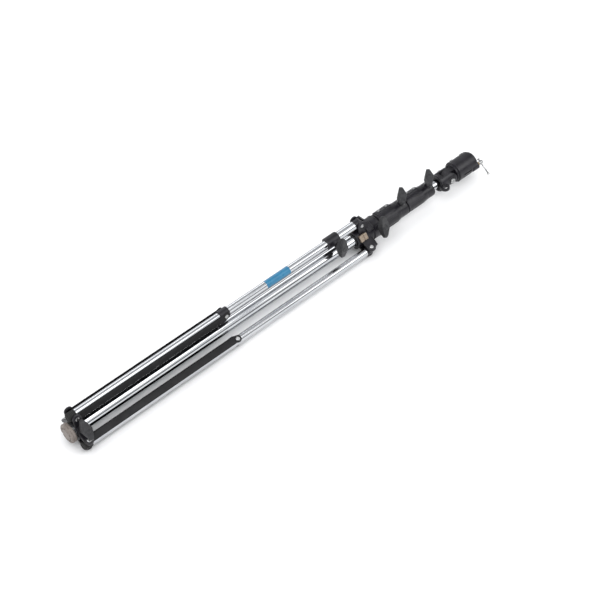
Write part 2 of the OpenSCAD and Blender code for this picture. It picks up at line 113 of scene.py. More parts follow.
def span(node):
    """Where a node starts and ends along the column, in millimetres from the foot."""
    lo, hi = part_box(node)
    return (TO_LOCAL @ lo).z, (TO_LOCAL @ hi).z


def middle(node):
    """The middle of a node's box, in the local frame."""
    lo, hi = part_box(node)
    return TO_LOCAL @ ((lo + hi) / 2)


def bar_length(lo, hi, out):
    """Length of a round bar that lies across the column, from its box and its diameter."""
    size = (hi - lo) / MM
    across = abs(out.y) >= abs(out.z)
    along, side = (out.y, out.z) if across else (out.z, out.y)
    return ((size.y if across else size.z) - size.x * abs(side)) / abs(along)


LOW_T = middle("lower_rivets").z
MID_T = middle("mid_rivet_b").z
TOP_T = middle("collar_rivets").z
PIVOT_R = math.hypot(*middle("mid_rivet_b").xy)
LEG_R = (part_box("leg_tube_b")[1].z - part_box("leg_tube_b")[0].z) / 2 / MM
STRUT_INNER = PIVOT_R - LEG_R - 0.5 - STRUT_WALL


# ---------- mesh tools ----------

def link(name, mesh):
    ob = bpy.data.objects.new(name, mesh)
    bpy.context.scene.collection.objects.link(ob)
    return ob


def from_bmesh(name, bm, matrix=None):
    """A linked object from a bmesh, with its faces turned outward and its place in its vertices."""
    if matrix is not None:
        bm.transform(matrix)
    bmesh.ops.recalc_face_normals(bm, faces=bm.faces)
    mesh = bpy.data.meshes.new(name)
    bm.to_mesh(mesh)
    bm.free()
    return link(name, mesh)


def apply_modifier(ob, kind, **values):
    mod = ob.modifiers.new(kind.lower(), kind)
    for key, value in values.items():
        setattr(mod, key, value)
    graph = bpy.context.evaluated_depsgraph_get()
    mesh = bpy.data.meshes.new_from_object(ob.evaluated_get(graph))
    ob.modifiers.clear()
    old, ob.data = ob.data, mesh
    bpy.data.meshes.remove(old)


def boolean(ob, tool, operation):
    """Joins a tool to ob or cuts it away, and removes the tool."""
    apply_modifier(ob, "BOOLEAN", object=tool, operation=operation, solver="EXACT")
    mesh = tool.data
    bpy.data.objects.remove(tool)
    bpy.data.meshes.remove(mesh)


def join(obs):
    """One object from several, with overlapping shells left as they are."""
    bm = bmesh.new()
    for ob in obs:
        bm.from_mesh(ob.data)
        mesh = ob.data
        bpy.data.objects.remove(ob)
        bpy.data.meshes.remove(mesh)
    mesh = bpy.data.meshes.new("joined")
    bm.to_mesh(mesh)
    bm.free()
    return link("joined", mesh)


def lathe(profile, matrix, segments=64, wrap=False, shape=None):
    """A turned solid about Z. profile lists (r, z); a zero radius closes an end, wrap makes a ring.
    shape(r, z, phi) bends the radius, for hexagons, threads and lobes."""
    bm = bmesh.new()
    rings = []
    for r, z in profile:
        if r == 0:
            rings.append([bm.verts.new((0, 0, z))])
            continue
        ring = []
        for i in range(segments):
            phi = 2 * math.pi * i / segments
            rr = shape(r, z, phi) if shape else r
            ring.append(bm.verts.new((rr * math.cos(phi), rr * math.sin(phi), z)))
        rings.append(ring)
    pairs = list(zip(rings, rings[1:])) + ([(rings[-1], rings[0])] if wrap else [])
    for a, b in pairs:
        for i in range(segments):
            j = (i + 1) % segments
            if len(a) == 1:
                bm.faces.new((a[0], b[i], b[j]))
            elif len(b) == 1:
                bm.faces.new((a[i], a[j], b[0]))
            else:
                bm.faces.new((a[i], a[j], b[j], b[i]))
    return from_bmesh("turned", bm, matrix)


def rod(r, z0, z1, matrix, edge=0.5, segments=48, shape=None):
    """A solid round bar with rounded rims."""
    e = edge
    profile = [(0, z0), (r - e, z0), (r - 0.3 * e, z0 + 0.3 * e), (r, z0 + e),
               (r, z1 - e), (r - 0.3 * e, z1 - 0.3 * e), (r - e, z1), (0, z1)]
    return lathe(profile, matrix, segments, shape=shape)


def pipe(r, wall, z0, z1, matrix, edge=0.5, segments=96):
    """A tube with rounded ends."""
    inner, e = r - wall, edge
    profile = [(inner, z0 + e), (inner + 0.3 * e, z0), (r - e, z0), (r, z0 + e),
               (r, z1 - e), (r - e, z1), (inner + 0.3 * e, z1), (inner, z1 - e)]
    return lathe(profile, matrix, segments, wrap=True)


def block(x0, x1, y0, y1, z0, z1, matrix, bevel=0.0):
    """A box with its edges rounded."""
    bm = bmesh.new()
    bmesh.ops.create_cube(bm, size=1)
    bm.transform(Matrix.Translation(((x0 + x1) / 2, (y0 + y1) / 2, (z0 + z1) / 2))
                 @ Matrix.Diagonal((x1 - x0, y1 - y0, z1 - z0, 1)))
    if bevel:
        bmesh.ops.bevel(bm, geom=bm.edges[:], offset=bevel, segments=3, affect="EDGES", profile=0.5)
    return from_bmesh("block", bm, matrix)


def prism(outline, z0, z1, matrix):
    """A flat outline of (x, y) points carried from z0 to z1."""
    bm = bmesh.new()
    low = [bm.verts.new((x, y, z0)) for x, y in outline]
    high = [bm.verts.new((x, y, z1)) for x, y in outline]
    bm.faces.new(low[::-1])
    bm.faces.new(high)
    n = len(outline)
    for i in range(n):
        j = (i + 1) % n
        bm.faces.new((low[i], low[j], high[j], high[i]))
    return from_bmesh("prism", bm, matrix)


def copy_of(node):
    """A new piece with the shape of a CAD node, welded so that modifiers can work on it."""
    bm = bmesh.new()
    bm.from_mesh(frame["nodes"][node].data)
    bmesh.ops.remove_doubles(bm, verts=bm.verts, dist=1e-6)
    mesh = bpy.data.meshes.new(node)
    bm.to_mesh(mesh)
    bm.free()
    return link(node, mesh)


def cast(ob, voxel=0.7, rounds=4, keep=0.45):
    """Fuses a shape and its added details, and rounds every edge as a casting or moulding has them."""
    apply_modifier(ob, "REMESH", mode="VOXEL", voxel_size=voxel * MM, adaptivity=0.0)
    apply_modifier(ob, "SMOOTH", factor=0.5, iterations=rounds)
    if keep < 1:
        apply_modifier(ob, "DECIMATE", ratio=keep, use_collapse_triangulate=False)
    return ob


def thread(r, depth, pitch, z0, z1, matrix, segments=32):
    """A threaded bar: the radius falls and rises along a helix, and fades out at both ends."""
    steps = max(12, int((z1 - z0) / pitch * 8))

    def helix(radius, z, phi):
        wave = abs(((z / pitch - phi / (2 * math.pi)) % 1) * 2 - 1)
        fade = min(1, (z - z0) / pitch, (z1 - z) / pitch)
        return radius - depth * wave * max(0, fade)

    profile = [(0, z0), (r - depth, z0)]
    profile += [(r, z0 + 0.3 + (z1 - z0 - 0.6) * i / steps) for i in range(steps + 1)]
    profile += [(r - depth, z1), (0, z1)]
    return lathe(profile, matrix, segments, shape=helix)


# ---------- materials ----------

def noise_at(nodes, links, coords, scale, detail=4.0, stretch=(1, 1, 1)):
    """Noise in object space: scale is in repeats per metre, stretch is per axis."""
    mapping = nodes.new("ShaderNodeMapping")
    mapping.inputs["Scale"].default_value = [scale * s for s in stretch]
    noise = nodes.new("ShaderNodeTexNoise")
    noise.inputs["Scale"].default_value = 1.0
    noise.inputs["Detail"].default_value = detail
    links.new(coords, mapping.inputs["Vector"])
    links.new(mapping.outputs["Vector"], noise.inputs["Vector"])
    return noise.outputs["Fac"]


def remap(nodes, links, value, low, high, to_low, to_high):
    node = nodes.new("ShaderNodeMapRange")
    for key, number in (("From Min", low), ("From Max", high), ("To Min", to_low), ("To Max", to_high)):
        node.inputs[key].default_value = number
    links.new(value, node.inputs["Value"])
    return node.outputs["Result"]


def mixed(nodes, links, factor, a, b):
    """A colour between a and b, where each is a colour or a socket."""
    node = nodes.new("ShaderNodeMix")
    node.data_type = "RGBA"
    links.new(factor, node.inputs["Factor"])
    for socket, value in ((node.inputs[6], a), (node.inputs[7], b)):
        if isinstance(value, tuple):
            socket.default_value = (*value, 1)
        else:
            links.new(value, socket)
    return node.outputs[2]


def surface(name, dark, light, rough, metallic=0.0, blotch=60, grain=2500, relief=0.02,
            stretch=(1, 1, 1), wear=None, coat=0.0, specular=0.5, scratches=0.0):
    """A procedural finish: colour drifts between dark and light, roughness varies over rough,
    the grain has relief in millimetres, and wear is the colour that shows along edges."""
    mat = bpy.data.materials.new(name)
    mat.use_nodes = True
    nodes, links = mat.node_tree.nodes, mat.node_tree.links
    shader = nodes["Principled BSDF"]
    coords = nodes.new("ShaderNodeTexCoord").outputs["Object"]
    drift = noise_at(nodes, links, coords, blotch, 3, stretch)
    fine = noise_at(nodes, links, coords, grain, 5, stretch)
    colour = mixed(nodes, links, remap(nodes, links, drift, 0.35, 0.65, 0, 1), dark, light)
    if wear:
        edge = nodes.new("ShaderNodeNewGeometry").outputs["Pointiness"]
        chips = noise_at(nodes, links, coords, 420, 5)
        mask = nodes.new("ShaderNodeMath")
        mask.operation = "MULTIPLY"
        links.new(remap(nodes, links, edge, 0.53, 0.60, 0, 1), mask.inputs[0])
        links.new(remap(nodes, links, chips, 0.45, 0.62, 0.1, 1), mask.inputs[1])
        colour = mixed(nodes, links, mask.outputs["Value"], colour, wear)
    links.new(colour, shader.inputs["Base Color"])
    smudge = noise_at(nodes, links, coords, blotch * 0.6, 4, stretch)
    links.new(remap(nodes, links, smudge, 0.3, 0.7, *rough), shader.inputs["Roughness"])
    bump = nodes.new("ShaderNodeBump")
    bump.inputs["Strength"].default_value = 0.6
    bump.inputs["Distance"].default_value = relief * MM
    links.new(fine, bump.inputs["Height"])
    if scratches:
        lines = noise_at(nodes, links, coords, 1, 6, (9, 3800, 3800))
        second = nodes.new("ShaderNodeBump")
        second.inputs["Strength"].default_value = 0.5
        second.inputs["Distance"].default_value = scratches * MM
        links.new(lines, second.inputs["Height"])
        links.new(bump.outputs["Normal"], second.inputs["Normal"])
        bump = second
    links.new(bump.outputs["Normal"], shader.inputs["Normal"])
    shader.inputs["Metallic"].default_value = metallic
    shader.inputs["Specular IOR Level"].default_value = specular
    if coat:
        shader.inputs["Coat Weight"].default_value = coat
        shader.inputs["Coat Roughness"].default_value = 0.12
    return mat


FINISH = {
    "chrome_tube": surface("chrome_tube", (0.47, 0.48, 0.50), (0.56, 0.57, 0.585), (0.05, 0.13), metallic=1,
                           blotch=35, grain=3000, relief=0.0015, stretch=(0.25, 1, 1), scratches=0.0008),
    "black_channel": surface("black_channel", (0.004, 0.004, 0.005), (0.008, 0.008, 0.009), (0.40, 0.52),
                             grain=3200, relief=0.03, specular=0.2),
    "black_casting": surface("black_casting", (0.006, 0.0056, 0.0075), (0.013, 0.012, 0.016), (0.27, 0.40),
                             grain=2400, relief=0.05, wear=(0.085, 0.08, 0.09), specular=0.32),
    "bright_steel": surface("bright_steel", (0.32, 0.325, 0.33), (0.44, 0.44, 0.435), (0.22, 0.36),
                            metallic=1, blotch=180, grain=2600, relief=0.006),
    "knob_plastic": surface("knob_plastic", (0.013, 0.013, 0.0145), (0.022, 0.022, 0.024), (0.36, 0.50),
                            grain=1900, relief=0.05, wear=(0.10, 0.10, 0.105), specular=0.4),
    "foot_pad": surface("foot_pad", (0.15, 0.125, 0.11), (0.22, 0.19, 0.17), (0.45, 0.62),
                        grain=1500, relief=0.07, wear=(0.36, 0.33, 0.31)),
    "rubber_tip": surface("rubber_tip", (0.007, 0.007, 0.007), (0.014, 0.014, 0.014), (0.55, 0.75),
                          grain=1700, relief=0.06, wear=(0.05, 0.05, 0.05), specular=0.3),
    "nylon_bush": surface("nylon_bush", (0.012, 0.012, 0.012), (0.02, 0.02, 0.02), (0.38, 0.5),
                          grain=2000, relief=0.02, specular=0.35),
    "label_film": surface("label_film", (0.006, 0.120, 0.235), (0.009, 0.150, 0.285), (0.20, 0.34),
                          grain=900, relief=0.01, coat=0.3),
    "zinc_shoe": surface("zinc_shoe", (0.27, 0.21, 0.155), (0.40, 0.33, 0.26), (0.32, 0.46), metallic=0.7,
                         blotch=260, grain=2200, relief=0.04, wear=(0.62, 0.56, 0.48)),
    "brass_bush": surface("brass_bush", (0.56, 0.38, 0.13), (0.72, 0.52, 0.21), (0.18, 0.32), metallic=1,
                          blotch=300, grain=2600, relief=0.008),
}


def piece(ob, name, node, slot, sharp=40, replaces=True):
    """Names a finished piece, gives it its finish, and lets it ride with the CAD node it belongs to."""
    ob.name = name
    ob.data.name = name
    ob.data.materials.clear()
    ob.data.materials.append(FINISH[slot])
    ob.data.shade_smooth()
    ob.data.set_sharp_from_angle(angle=math.radians(sharp))
    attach(ob, BODY_OF[node])
    if replaces:
        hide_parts(node)
    return ob


# ---------- tubes ----------

def centred(node):
    """A frame on a tube's own axis, with Z up the column and zero at the foot."""
    mid = middle(node)
    return LYING @ Matrix.Translation((mid.x, mid.y, 0))


def chrome_tube(node, wall=TUBE_WALL):
    lo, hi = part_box(node)
    r = (hi.z - lo.z) / 2 / MM
    piece(pipe(r, wall, *span(node), centred(node)), f"{node}_chrome", node, "chrome_tube")


for tube in ("column_tube", "section_2_tube", "section_3_tube", "leg_tube_a", "leg_tube_b", "leg_tube_c"):
    chrome_tube(tube)


def leg_sleeve():
    """The short outer tube of the adjustable leg."""
    t0, t1 = span("leg_sleeve_a")
    lo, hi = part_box("leg_sleeve_a")
    r = (hi.z - lo.z) / 2 / MM
    piece(pipe(r, r - LEG_R - RUNNING, t0, t1, centred("leg_sleeve_a")), "leg_sleeve_chrome",
          "leg_sleeve_a", "chrome_tube")


leg_sleeve()


# ---------- struts ----------

def flange_outline(from_t, to_t, low, high):
    """Side view of a strut's flange between two heights: straight, with round ends about its pivots."""
    outer = STRUT_INNER + STRUT_DEPTH
    step = 0.5

    def reach(t):
        gap = min(abs(t - low), abs(t - high))
        if low < t < high and gap > STRUT_END_R:
            return STRUT_INNER, outer
        swing = math.sqrt(max(0, STRUT_END_R ** 2 - min(gap, STRUT_END_R) ** 2))
        if low < t < high:
            blend = gap / STRUT_END_R
            return PIVOT_R - STRUT_END_R + (STRUT_INNER - PIVOT_R + STRUT_END_R) * blend, \
                max(outer, PIVOT_R + swing)
        return PIVOT_R - swing, PIVOT_R + swing

    count = max(2, int(round((to_t - from_t) / step)))
    stations = [from_t + (to_t - from_t) * i / count for i in range(count + 1)]
    ends = [reach(t) for t in stations]
    upper = [(e[1], t) for e, t in zip(ends, stations)]
    lower = [(e[0], t) for e, t in zip(ends, stations)]
    if ends[0][1] - ends[0][0] < 0.01:
        lower = lower[1:]
    if ends[-1][1] - ends[-1][0] < 0.01:
        lower = lower[:-1]
    return upper + lower[::-1]


def channel_profile():
    """Cross section of the folded channel, with round bends, as (x, y) points."""
    half, bend = STRUT_WIDTH / 2, 3.0
    outer, top = STRUT_INNER, STRUT_INNER + STRUT_DEPTH

    def corner(cx, cy, r, start, end, steps=6):
        return [(cx + r * math.cos(math.radians(start + (end - start) * i / steps)),
                 cy + r * math.sin(math.radians(start + (end - start) * i / steps)))
                for i in range(steps + 1)]

    inner = bend - STRUT_WALL
    return ([(top, half), (top, half - STRUT_WALL)]
            + corner(outer + bend, half - bend, inner, 90, 180)
            + corner(outer + bend, -half + bend, inner, 180, 270)
            + [(top, -half + STRUT_WALL), (top, -half)]
            + corner(outer + bend, -half + bend, bend, 270, 180)
            + corner(outer + bend, half - bend, bend, 180, 90))


def strut(leg):
    """A folded sheet channel whose flanges run on past the web to the two pivots."""
    angle = LEGS[leg]
    web_from, web_to, half = LOW_T + WEB_START, MID_T - WEB_END, STRUT_WIDTH / 2
    ob = prism(channel_profile(), web_from, web_to, at(angle))
    stand = Matrix(((1, 0, 0, 0), (0, 0, 1, 0), (0, 1, 0, 0), (0, 0, 0, 1)))
    for y0 in (-half, half - STRUT_WALL):
        for start, end in ((LOW_T - STRUT_END_R, web_from + 0.6), (web_to - 0.6, MID_T + STRUT_END_R)):
            plate = prism(flange_outline(start, end, LOW_T, MID_T), y0, y0 + STRUT_WALL, at(angle) @ stand)
            boolean(ob, plate, "UNION")
    for t in (LOW_T, MID_T):
        hole = rod(RIVET_R + RUNNING, -half - 2, half + 2, at(angle, PIVOT_R, 0, t) @ ALONG_Y)
        boolean(ob, hole, "DIFFERENCE")
    apply_modifier(ob, "BEVEL", width=0.35 * MM, segments=2, limit_method="ANGLE",
                   angle_limit=math.radians(50), use_clamp_overlap=True)
    piece(ob, f"strut_{leg}_channel", f"strut_{leg}", "black_channel", sharp=45)


for leg_name in LEGS:
    strut(leg_name)


# ---------- rivets and screws ----------

def rivet_head(start, h=RIVET_HEAD_H, r=RIVET_HEAD_R):
    """Profile of a domed head with a small dimple, from its rim at start to its top."""
    return [(r, start), (r, start + 0.45 * h), (0.92 * r, start + 0.66 * h), (0.75 * r, start + 0.86 * h),
            (0.52 * r, start + h), (0.36 * r, start + 0.97 * h), (0.26 * r, start + 0.72 * h),
            (0, start + 0.66 * h)]


def stub_rivet(matrix, inner, outer):
    return lathe([(0, inner), (RIVET_R - 0.3, inner), (RIVET_R, inner + 0.3), (RIVET_R, outer)]
                 + rivet_head(outer), matrix, 40)


def through_rivet(matrix, half):
    head = rivet_head(half)
    low = [(r, -z) for r, z in reversed(head)]
    return lathe(low + [(RIVET_R, -half), (RIVET_R, half)] + head, matrix, 40)


def rivets():
    """All pivot rivets: pairs of stubs at the column and the adjustable leg, through rivets elsewhere."""
    stubs = []
    for angle in LEGS.values():
        for way in (ALONG_Y, BACK_Y):
            stubs.append(stub_rivet(at(angle, PIVOT_R, 0, LOW_T) @ way, LOW_STUB_FROM, LOW_EAR_OUT))
    piece(join(stubs), "rivets_low", "lower_rivets", "bright_steel")
    half = (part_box("mid_rivets_a")[1].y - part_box("mid_rivets_a")[0].y) / 2 / MM - RIVET_HEAD_H
    stubs = [stub_rivet(at(0, PIVOT_R, 0, MID_T) @ way, MID_STUB_FROM, half)
             for way in (ALONG_Y, BACK_Y)]
    piece(join(stubs), "rivets_mid_a", "mid_rivets_a", "bright_steel")
    for leg in "bc":
        piece(through_rivet(at(LEGS[leg], PIVOT_R, 0, MID_T) @ ALONG_Y, half),
              f"rivet_mid_{leg}", f"mid_rivet_{leg}", "bright_steel")
    top = [through_rivet(at(angle, PIVOT_R, 0, TOP_T) @ ALONG_Y, TOP_EAR_OUT) for angle in LEGS.values()]
    piece(join(top), "rivets_top", "collar_rivets", "bright_steel")


rivets()


def socket_screw(matrix, shank_r, shank, head_r, head, socket_r):
    """A round-headed screw with a hexagon socket: shank below zero, head above it."""
    depth = 0.65 * head
    profile = [(0, -shank), (shank_r - 0.3, -shank), (shank_r, 0.3 - shank), (shank_r, 0), (head_r - 0.3, 0),
               (head_r, 0.3), (head_r, head - 0.6), (head_r - 0.25, head - 0.18), (head_r - 0.7, head),
               (socket_r + 0.8, head), (socket_r + 0.3, head - 0.35), (socket_r, head - 0.4),
               (socket_r, head - depth), (0, head - depth)]

    def flats(r, z, phi):
        if r <= socket_r + 0.001 and head - depth - 0.01 <= z <= head - 0.39:
            return r * 0.9 / math.cos((phi % (math.pi / 3)) - math.pi / 6)
        return r

    return lathe(profile, matrix, 48, shape=flats)


def radius_near(node, t, width=1.5):
    """A CAD node's largest distance from the column's axis in a thin slice round t."""
    found = [math.hypot(*(TO_LOCAL @ v.co).xy) for v in frame["nodes"][node].data.vertices
             if abs((TO_LOCAL @ v.co).z - t) < width]
    return max(found)


def casting_screws(letter):
    start = span(f"casting_{letter}")[0]
    r = radius_near(f"casting_{letter}", start + 4)
    screws = [socket_screw(at(SCREW_ANGLE, r + 3, 0, start + t) @ ALONG_X, 2.5, 6, 5, 3, 2.6)
              for t in PLATE_SCREWS]
    piece(join(screws), f"socket_screws_{letter}", f"screws_{letter}", "bright_steel")


casting_screws("a")
casting_screws("b")


# ---------- castings ----------

def clamp_casting(letter):
    """A clamp casting: a lip at its start, a raised band for the screws and ribs along the sleeve."""
    node = f"casting_{letter}"
    t0, t1 = span(node)
    r = radius_near(node, t0 + 4)
    sleeve = t1 - t0 - CLAMP_LENGTH
    parts = [copy_of(node)]
    for angle in (28, 62, 118, 152, 208, 242, 298):
        parts.append(block(r - 2, r + 0.9, -1.2, 1.2, t0 + 6, t0 + sleeve - 13, at(angle), 0.5))
    parts.append(block(r - 2, r + 1.1, -12.5, 12.5, t0 + 6.5, t0 + sleeve - 16, at(SCREW_ANGLE), 0.8))
    parts.append(pipe(r + 0.9, 3, t0 + 1.2, t0 + 5.2, at(), 0.9, 72))
    for t in PLATE_SCREWS:
        parts.append(pipe(7.2, 3.4, -2, 1.4, at(SCREW_ANGLE, r + 2, 0, t0 + t) @ ALONG_X, 0.5, 40))
    ob = cast(join(parts), voxel=0.75, rounds=4)
    piece(ob, f"clamp_{letter}", node, "black_casting", sharp=60)


clamp_casting("a")
clamp_casting("b")


def lower_collar():
    """The strut collar, with webs that brace each pair of ears against the ring."""
    node = "lower_collar"
    t1 = span(node)[1]
    parts = [copy_of(node)]
    ring = radius_near(node, t1 - 0.2, 0.6)
    for angle in LEGS.values():
        for side in (-1, 1):
            y0, y1 = sorted((side * 15.7, side * 20.3))
            parts.append(block(12, 34, y0, y1, LOW_T - 11, LOW_T + 11.5, at(angle), 1.5))
            parts.append(pipe(8.2, 1.6, 20.0, 21.1, at(angle, PIVOT_R, 0, LOW_T)
                              @ (ALONG_Y if side > 0 else BACK_Y), 0.4, 40))
    parts.append(pipe(min(ring, 28) + 0.8, 4, t1 - 4.5, t1 - 1.2, at(), 0.8, 72))
    ob = cast(join(parts), voxel=0.7, rounds=3)
    piece(ob, "strut_collar", node, "black_casting", sharp=60)


def leg_collar():
    """The leg collar: bosses round the pivots, webs behind the ears, a ledge on the near side and a rim."""
    node = "leg_collar"
    parts = [copy_of(node)]
    for angle in LEGS.values():
        for side in (-1, 1):
            parts.append(pipe(8.0, 1.6, 16.9, 18.0, at(angle, PIVOT_R, 0, TOP_T)
                              @ (ALONG_Y if side > 0 else BACK_Y), 0.4, 40))
        parts.append(block(24, 40, -2, 2, TOP_T + 16, TOP_T + 30, at(angle), 1.2))
    parts.append(block(24, 33.5, -11, 11, TOP_T + 12, TOP_T + 34, at(30), 2.0))
    parts.append(pipe(30.8, 4, TOP_T + 54, TOP_T + 58, at(), 0.9, 72))
    ob = cast(join(parts), voxel=0.7, rounds=3)
    piece(ob, "hinge_collar", node, "black_casting", sharp=60)


lower_collar()
leg_collar()

for cad_node, label in (("level_clamp", "level_clamp_body"), ("leg_guide_a", "leg_guide_block"),
                        ("leg_end_a", "leg_end_a_fork"), ("leg_end_b", "leg_end_b_fork"),
                        ("leg_end_c", "leg_end_c_fork")):
    piece(cast(copy_of(cad_node), voxel=0.55, rounds=3), label, cad_node, "black_casting", sharp=60)


# ---------- foot, tips, bushes, shoe, label ----------

def foot_pad():
    """The moulded pad under the column, with a ring groove and dimples in its underside."""
    lo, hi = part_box("base_foot")
    pad_r = (hi.y - lo.y) / 2 / MM
    ob = copy_of("base_foot")
    boolean(ob, pipe(pad_r - 7, 3, -1, 2.4, at(), 0.3, 72), "DIFFERENCE")
    for k in range(6):
        boolean(ob, rod(3.0, -1, 2.0, at(60 * k, pad_r - 4.2, 0, 0), 0.3, 24), "DIFFERENCE")
    piece(cast(ob, voxel=0.5, rounds=2), "foot_pad_moulded", "base_foot", "foot_pad", sharp=45)


def leg_tip(leg):
    """A rubber cap with grip rings and a rolled lip, over the end of a leg."""
    node = f"leg_tip_{leg}"
    t0, t1 = span(node)
    r, length = TIP_R, t1 - t0
    profile = [(0, 1.2), (5.5, 1.2), (6.5, 0.2), (8.6, 0), (10.6, 1.2), (11.6, 3.2)]
    for k in range(4):
        z = 6 + 3.6 * k
        profile += [(r, z - 0.9), (r, z + 0.9), (r - 0.7, z + 1.5), (r - 0.7, z + 2.1)]
    profile += [(r, length - 2.6), (r, length - 1.0), (r - 0.5, length), (LEG_R + 0.05, length),
                (LEG_R + 0.05, 4), (LEG_R - TUBE_WALL, 4), (LEG_R - TUBE_WALL, 16), (6, 16), (6, 8), (0, 8)]
    piece(lathe(profile, centred(node) @ Matrix.Translation((0, 0, t0)), 64), f"leg_tip_{leg}_rubber",
          node, "rubber_tip", sharp=50)


foot_pad()
for leg_name in LEGS:
    leg_tip(leg_name)


def clamp_shoe():
    """The pressure shoe under the leg collar: a small cast block with a groove across it."""
    ob = cast(copy_of("clamp_shoe"), voxel=0.4, rounds=3)
    piece(ob, "pressure_shoe", "clamp_shoe", "zinc_shoe", sharp=60)


def label():
    """A plain film wrapped half way round the adjustable leg, with rounded corners and no print."""
    t0, t1 = span("label_band")
    steps_round, steps_long, corner = 40, 30, 3.0
    start, sweep = -60, 180
    inner, outer = LEG_R + 0.02, LEG_R + 0.24
    width = math.radians(sweep) * LEG_R
    bm = bmesh.new()
    layers = []
    for r in (inner, outer):
        grid = []
        for i in range(steps_round + 1):
            s = width * i / steps_round
            edge = min(s, width - s)
            cut = corner - math.sqrt(corner ** 2 - (corner - edge) ** 2) if edge < corner else 0
            a = math.radians(start) + s / LEG_R
            grid.append([bm.verts.new((r * math.cos(a), r * math.sin(a),
                                       t0 + cut + (t1 - t0 - 2 * cut) * j / steps_long))
                         for j in range(steps_long + 1)])
        layers.append(grid)
    for grid in layers:
        for i in range(steps_round):
            for j in range(steps_long):
                bm.faces.new((grid[i][j], grid[i + 1][j], grid[i + 1][j + 1], grid[i][j + 1]))
    rim = [(i, 0) for i in range(steps_round)] + [(steps_round, j) for j in range(steps_long)]
    rim += [(i, steps_long) for i in range(steps_round, 0, -1)] + [(0, j) for j in range(steps_long, 0, -1)]
    for (i, j), (k, m) in zip(rim, rim[1:] + rim[:1]):
        bm.faces.new((layers[0][i][j], layers[0][k][m], layers[1][k][m], layers[1][i][j]))
    mid = middle("leg_tube_a")
    ob = from_bmesh("label", bm, LYING @ Matrix.Translation((mid.x, mid.y, 0)))
    piece(ob, "label_plain", "label_band", "label_film", sharp=50)


clamp_shoe()
label()

for cad_node in ("bush_a", "bush_b", "collar_bush", "guide_2", "guide_3"):
    cad = frame["nodes"][cad_node]
    cad.data.materials.clear()
    cad.data.materials.append(FINISH["nylon_bush"])


# ---------- wing knobs ----------

def knob_ribs(node, m):
    """Long ribs round a knob's wings: thin slices of the wings, drawn a little fuller than they are."""
    ribs = []
    for x in KNOB_RIBS:
        rib = copy_of(node)
        rib.data.transform(m @ Matrix.Diagonal((1, 1.012, 1.10, 1)) @ m.inverted())
        boolean(rib, block(x, x + KNOB_RIB_W, -40, 40, -20, 20, m), "INTERSECT")
        ribs.append(rib)
    return ribs


def knob_frame(joint, turn, stud, inner):
    """A knob's own frame: X out along its stud, Y along its grip, zero at the seat of its hub."""
    out = Vector(JOINTS[joint]["axis"]).normalized()
    along = Vector((1, 0, 0))
    across = along.cross(out)
    a = math.radians(turn)
    y = math.cos(a) * across + math.sin(a) * along
    z = out.cross(y)
    lo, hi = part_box(stud)
    centre = (lo + hi) / 2
    seat = centre + out * ((inner - KNOB_STUD_DEPTH) / 2 * MM)
    m = Matrix((out * MM, y * MM, z * MM)).transposed().to_4x4()
    m.translation = seat
    return m


def wing_knob(name, joint, turn):
    """A ribbed wing knob with a domed boss, and its threaded stud."""
    lo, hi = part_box(f"stud_{name}")
    out = Vector(JOINTS[joint]["axis"]).normalized()
    length = bar_length(lo, hi, out)
    inner = length - KNOB_STUD_DEPTH
    m = knob_frame(joint, turn, f"stud_{name}", inner)
    node = f"knob_{name}"
    boss = lathe([(0, KNOB_HUB_H - 6), (7.2, KNOB_HUB_H - 6), (7.2, KNOB_TOP - 0.6), (6.4, KNOB_TOP + 0.5),
                  (4.8, KNOB_TOP + 0.9), (4.4, KNOB_TOP + 0.1), (0, KNOB_TOP)], m @ ALONG_X, 48)
    skirt = pipe(11.4, 3.0, 0.2, 3.4, m @ ALONG_X, 0.7, 56)
    ob = cast(join([copy_of(node), boss, skirt] + knob_ribs(node, m)), voxel=0.5, rounds=2, keep=0.4)
    piece(ob, f"wing_{name}", node, "knob_plastic", sharp=70)
    stud = thread(4, 0.45, 1.25, -inner, 1.0, m @ ALONG_X)
    piece(stud, f"stud_{name}_threaded", f"stud_{name}", "bright_steel", sharp=70)


for knob, turn_joint, knob_turn in (("low", "low_knob_turn", 0), ("collar", "collar_knob_turn", -20),
                                    ("level", "level_knob_turn", -12), ("a", "knob_a_turn", -35),
                                    ("b", "knob_b_turn", -35)):
    wing_knob(knob, turn_joint, knob_turn)


# ---------- head ----------

TILT_T = middle("tilt_bolt").z
STUD_T0, STUD_T1 = span("end_stud")
BODY_END = STUD_T0 + STUD_ROOT


def head_socket():
    """The fork and its eye loop, with a rim round its neck and a boss on each cheek."""
    parts = [copy_of("head_socket")]
    start = span("head_socket")[0]
    parts.append(pipe(25.3, 3.2, start + 9.2, start + 12.6, at(), 0.9, 80))
    for side in (-1, 1):
        parts.append(pipe(10.6, 2.2, 22.0, 24.9, at(0, 0, 0, TILT_T) @ (ALONG_Y if side > 0 else BACK_Y),
                          0.6, 48))
    ob = cast(join(parts), voxel=0.6, rounds=3)
    piece(ob, "head_fork", "head_socket", "black_casting", sharp=60)


def head_barrel():
    """The barrel body, with a rib on each side of the tee screw and two slots between the ribs."""
    parts = [copy_of("head_barrel")]
    for angle in (TEE_ANGLE - 24, TEE_ANGLE + 24):
        parts.append(block(24, 31.0, -1.3, 1.3, BODY_END - 58, BODY_END - 10, at(angle), 0.5))
    ob = join(parts)
    for offset in (-11, 11):
        slot = block(26, 40, -2, 2, BODY_END - 56, BODY_END - 26, at(TEE_ANGLE + offset), 1.2)
        boolean(ob, slot, "DIFFERENCE")
    ob = cast(ob, voxel=0.65, rounds=3)
    piece(ob, "head_body", "head_barrel", "black_casting", sharp=60)


